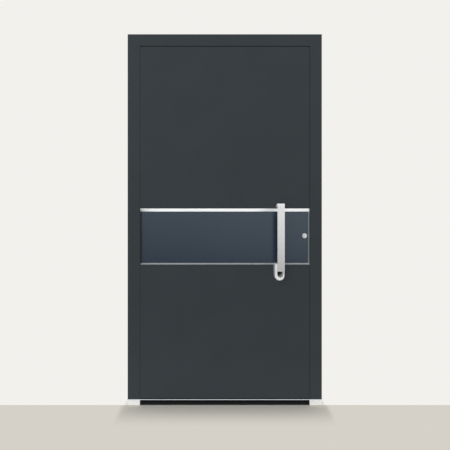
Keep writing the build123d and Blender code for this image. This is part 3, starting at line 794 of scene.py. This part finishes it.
stirrup_low, stirrup_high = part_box("pull_bar_loop")
outer_sides = (stirrup_low[0], stirrup_high[0], stirrup_low[2], stirrup_high[2])
left_wall, right_wall, bottom_wall, top_wall = stirrup_walls
mouth_sides = (outer_sides[0] + left_wall, outer_sides[1] - right_wall,
               outer_sides[2] + bottom_wall, outer_sides[3] - top_wall)
deep_sides = (mouth_sides[0], mouth_sides[1], mouth_sides[2] + mouth_draft, mouth_sides[3])
rim_y = stirrup_low[1]
stirrup_rows = [loop_row(outer_sides, 0, stirrup_corner, stirrup_high[1])]
stirrup_rows += [
    loop_row(outer_sides, outer_rounding * (1 - np.cos(turn)), stirrup_corner,
             rim_y + outer_rounding * (1 - np.sin(turn)))
    for turn in rounding_steps
]
stirrup_rows += [
    loop_row(mouth_sides, mouth_rounding * (np.cos(turn) - 1), mouth_corner,
             rim_y + mouth_rounding * (1 - np.sin(turn)))
    for turn in rounding_steps[::-1]
]
stirrup_rows += [loop_row(deep_sides, 0, mouth_corner, stirrup_high[1]), stirrup_rows[0]]
stirrup_finish = brushed_steel("blasted_steel", stirrup_colour, all_ways, stirrup_roughness)
stirrup_shader = stirrup_finish.node_tree.nodes["Principled BSDF"]
stirrup_shader.inputs["Metallic"].default_value = stirrup_metallic
stirrup = make_piece("pull_stirrup", [np.stack(stirrup_rows)], stirrup_finish, "leaf")
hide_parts("pull_bar_loop")

# Floor
# A plain pale floor. It is a shade deeper in front of the door than behind it, and far out it
# takes the colour of the background. Only near the door does it show a shadow. In reflections it
# glows, at twice white near the door and fading further out, as a painted reflection.
floor_reach = 6
floor_lines = 9
floor_roughness = 0.8
floor_specular = 0.2
door_footprint = (0.55, 0.04, 0)
front_tone_edge = -0.04
shadow_reach = 0.215
shadow_reach_behind = 0.12
shadow_side_share = (0.22, 1, 1)
front_tone_reach = (0.6, 2.4)
floor_front_colour = (0.665, 0.638, 0.578)
background_colour = (0.888, 0.880, 0.847)
floor_reflection_glow_reach = (0.4, 1.8)
floor_reflection_glow_strength = (2.0, 0.14)

steps = np.linspace(-floor_reach, floor_reach, floor_lines)
floor_x, floor_y = np.meshgrid(steps, steps, indexing="ij")
floor_points = np.stack([floor_x, floor_y, 0 * floor_x], axis=-1).reshape(-1, 3)
tiles = np.arange(floor_lines - 1)
first = (tiles[:, None] * floor_lines + tiles).ravel()
beside = first + floor_lines
floor_faces = np.stack([first, beside, beside + 1, first + 1], axis=-1)
floor_mesh = bpy.data.meshes.new("floor")
floor_mesh.from_pydata(floor_points, [], floor_faces)
floor = bpy.data.objects.new("floor", floor_mesh)
scene.collection.objects.link(floor)

floor_finish = new_finish("pale_floor", floor_roughness, specular=floor_specular)
floor_mesh.materials.append(floor_finish)
nodes = floor_finish.node_tree.nodes
links = floor_finish.node_tree.links
floor_shader = nodes["Principled BSDF"]
output = nodes["Material Output"]
place = nodes.new("ShaderNodeTexCoord")
axes = nodes.new("ShaderNodeSeparateXYZ")
links.new(place.outputs["Object"], axes.inputs["Vector"])
behind = nodes.new("ShaderNodeMath")
behind.operation = "GREATER_THAN"
behind.inputs[1].default_value = front_tone_edge
links.new(axes.outputs["Y"], behind.inputs[0])
two_tone = nodes.new("ShaderNodeMix")
two_tone.data_type = "RGBA"
two_tone.inputs["A"].default_value = (*floor_front_colour, 1)
two_tone.inputs["B"].default_value = (*background_colour, 1)
links.new(two_tone.outputs["Result"], floor_shader.inputs["Base Color"])
footprint = nodes.new("ShaderNodeVectorMath")
footprint.operation = "ABSOLUTE"
links.new(place.outputs["Object"], footprint.inputs[0])
beyond = nodes.new("ShaderNodeVectorMath")
beyond.operation = "SUBTRACT"
beyond.inputs[1].default_value = door_footprint
links.new(footprint.outputs["Vector"], beyond.inputs[0])
outside = nodes.new("ShaderNodeVectorMath")
outside.operation = "MAXIMUM"
outside.inputs[1].default_value = (0, 0, 0)
links.new(beyond.outputs["Vector"], outside.inputs[0])
distance = nodes.new("ShaderNodeVectorMath")
distance.operation = "LENGTH"
links.new(outside.outputs["Vector"], distance.inputs[0])
narrowed = nodes.new("ShaderNodeVectorMath")
narrowed.operation = "DIVIDE"
narrowed.inputs[1].default_value = shadow_side_share
links.new(outside.outputs["Vector"], narrowed.inputs[0])
shadow_distance = nodes.new("ShaderNodeVectorMath")
shadow_distance.operation = "LENGTH"
links.new(narrowed.outputs["Vector"], shadow_distance.inputs[0])
far_out = nodes.new("ShaderNodeMapRange")
far_out.interpolation_type = "SMOOTHSTEP"
far_out.inputs["From Min"].default_value = front_tone_reach[0]
far_out.inputs["From Max"].default_value = front_tone_reach[1]
links.new(distance.outputs["Value"], far_out.inputs["Value"])
plain_tone = nodes.new("ShaderNodeMath")
plain_tone.operation = "MAXIMUM"
links.new(behind.outputs["Value"], plain_tone.inputs[0])
links.new(far_out.outputs["Result"], plain_tone.inputs[1])
links.new(plain_tone.outputs["Value"], two_tone.inputs["Factor"])
reach_there = nodes.new("ShaderNodeMapRange")
reach_there.inputs["To Min"].default_value = shadow_reach
reach_there.inputs["To Max"].default_value = shadow_reach_behind
links.new(behind.outputs["Value"], reach_there.inputs["Value"])
far = nodes.new("ShaderNodeMapRange")
far.interpolation_type = "SMOOTHSTEP"
links.new(reach_there.outputs["Result"], far.inputs["From Max"])
links.new(shadow_distance.outputs["Value"], far.inputs["Value"])
plain = nodes.new("ShaderNodeEmission")
links.new(two_tone.outputs["Result"], plain.inputs["Color"])
rays = nodes.new("ShaderNodeLightPath")
fade = nodes.new("ShaderNodeMath")
fade.operation = "MULTIPLY"
links.new(far.outputs["Result"], fade.inputs[0])
links.new(rays.outputs["Is Camera Ray"], fade.inputs[1])
seen = nodes.new("ShaderNodeMixShader")
links.new(fade.outputs["Value"], seen.inputs["Fac"])
links.new(floor_shader.outputs["BSDF"], seen.inputs[1])
links.new(plain.outputs["Emission"], seen.inputs[2])
# Painted reflection: to glossy rays the floor glows, brightest near the door.
mirrored = nodes.new("ShaderNodeEmission")
reflection_glow_near = nodes.new("ShaderNodeMapRange")
reflection_glow_near.inputs["From Min"].default_value = floor_reflection_glow_reach[0]
reflection_glow_near.inputs["From Max"].default_value = floor_reflection_glow_reach[1]
reflection_glow_near.inputs["To Min"].default_value = floor_reflection_glow_strength[0]
reflection_glow_near.inputs["To Max"].default_value = floor_reflection_glow_strength[1]
links.new(distance.outputs["Value"], reflection_glow_near.inputs["Value"])
links.new(reflection_glow_near.outputs["Result"], mirrored.inputs["Strength"])
reflected = nodes.new("ShaderNodeMixShader")
links.new(rays.outputs["Is Glossy Ray"], reflected.inputs["Fac"])
links.new(seen.outputs["Shader"], reflected.inputs[1])
links.new(mirrored.outputs["Emission"], reflected.inputs[2])
links.new(reflected.outputs["Shader"], output.inputs["Surface"])

# Studio light
# An even pale surrounding, and one large soft lamp high at the front left. What metal and gloss
# mirror is graded: level + direction . slope + direction squared . side rise, kept in its limits.
surround_strength = 0.88
lamp_place = (-2.8, -6.0, 2.6)
lamp_target = (0, 0, 1.0)
lamp_side = 5
lamp_power = 122
mirror_slope = (0.95, 0, 2.9)
mirror_side_rise = (1.2, 0, 0)
mirror_level = 1.03
mirror_low = 0.0
mirror_high = 1.5

world = bpy.data.worlds.new("studio")
scene.world = world
world.use_nodes = True
nodes = world.node_tree.nodes
links = world.node_tree.links
output = nodes["World Output"]
nodes.remove(nodes["Background"])
rays = nodes.new("ShaderNodeLightPath")
around = nodes.new("ShaderNodeTexCoord")
slope = nodes.new("ShaderNodeVectorMath")
slope.operation = "DOT_PRODUCT"
slope.inputs[1].default_value = mirror_slope
links.new(around.outputs["Generated"], slope.inputs[0])
lit = nodes.new("ShaderNodeBackground")
lit.inputs["Strength"].default_value = surround_strength
seen = nodes.new("ShaderNodeBackground")
seen.inputs["Color"].default_value = (*background_colour, 1)
mirrored = nodes.new("ShaderNodeBackground")
level = nodes.new("ShaderNodeMapRange")
level.inputs["From Min"].default_value = mirror_low - mirror_level
level.inputs["From Max"].default_value = mirror_high - mirror_level
level.inputs["To Min"].default_value = mirror_low
level.inputs["To Max"].default_value = mirror_high
sideways = nodes.new("ShaderNodeVectorMath")
sideways.operation = "MULTIPLY"
links.new(around.outputs["Generated"], sideways.inputs[0])
links.new(around.outputs["Generated"], sideways.inputs[1])
side_rise = nodes.new("ShaderNodeVectorMath")
side_rise.operation = "DOT_PRODUCT"
side_rise.inputs[1].default_value = mirror_side_rise
links.new(sideways.outputs["Vector"], side_rise.inputs[0])
both = nodes.new("ShaderNodeMath")
links.new(slope.outputs["Value"], both.inputs[0])
links.new(side_rise.outputs["Value"], both.inputs[1])
links.new(both.outputs["Value"], level.inputs["Value"])
links.new(level.outputs["Result"], mirrored.inputs["Strength"])
glossy_mix = nodes.new("ShaderNodeMixShader")
links.new(rays.outputs["Is Glossy Ray"], glossy_mix.inputs["Fac"])
links.new(lit.outputs["Background"], glossy_mix.inputs[1])
links.new(mirrored.outputs["Background"], glossy_mix.inputs[2])
camera_mix = nodes.new("ShaderNodeMixShader")
links.new(rays.outputs["Is Camera Ray"], camera_mix.inputs["Fac"])
links.new(glossy_mix.outputs["Shader"], camera_mix.inputs[1])
links.new(seen.outputs["Background"], camera_mix.inputs[2])
links.new(camera_mix.outputs["Shader"], output.inputs["Surface"])

lamp_data = bpy.data.lights.new("soft_lamp", "AREA")
lamp_data.size = lamp_side
lamp_data.energy = lamp_power
lamp = bpy.data.objects.new("soft_lamp", lamp_data)
scene.collection.objects.link(lamp)
lamp.location = lamp_place
lamp.visible_glossy = False
aim = Vector(lamp_target) - lamp.location
lamp.rotation_euler = aim.to_track_quat("-Z", "Y").to_euler()

# Camera
# Straight on, level, at half the door's height, as in the photograph.
camera_place = (0.0014, -1.89, 1.0194)
camera_lens = 26.133

camera_data = bpy.data.cameras.new("camera")
camera_data.lens = camera_lens
camera = bpy.data.objects.new("camera", camera_data)
scene.collection.objects.link(camera)
camera.location = camera_place
camera.rotation_euler = (np.pi / 2, 0, 0)
scene.camera = camera
scene.view_settings.view_transform = "Standard"
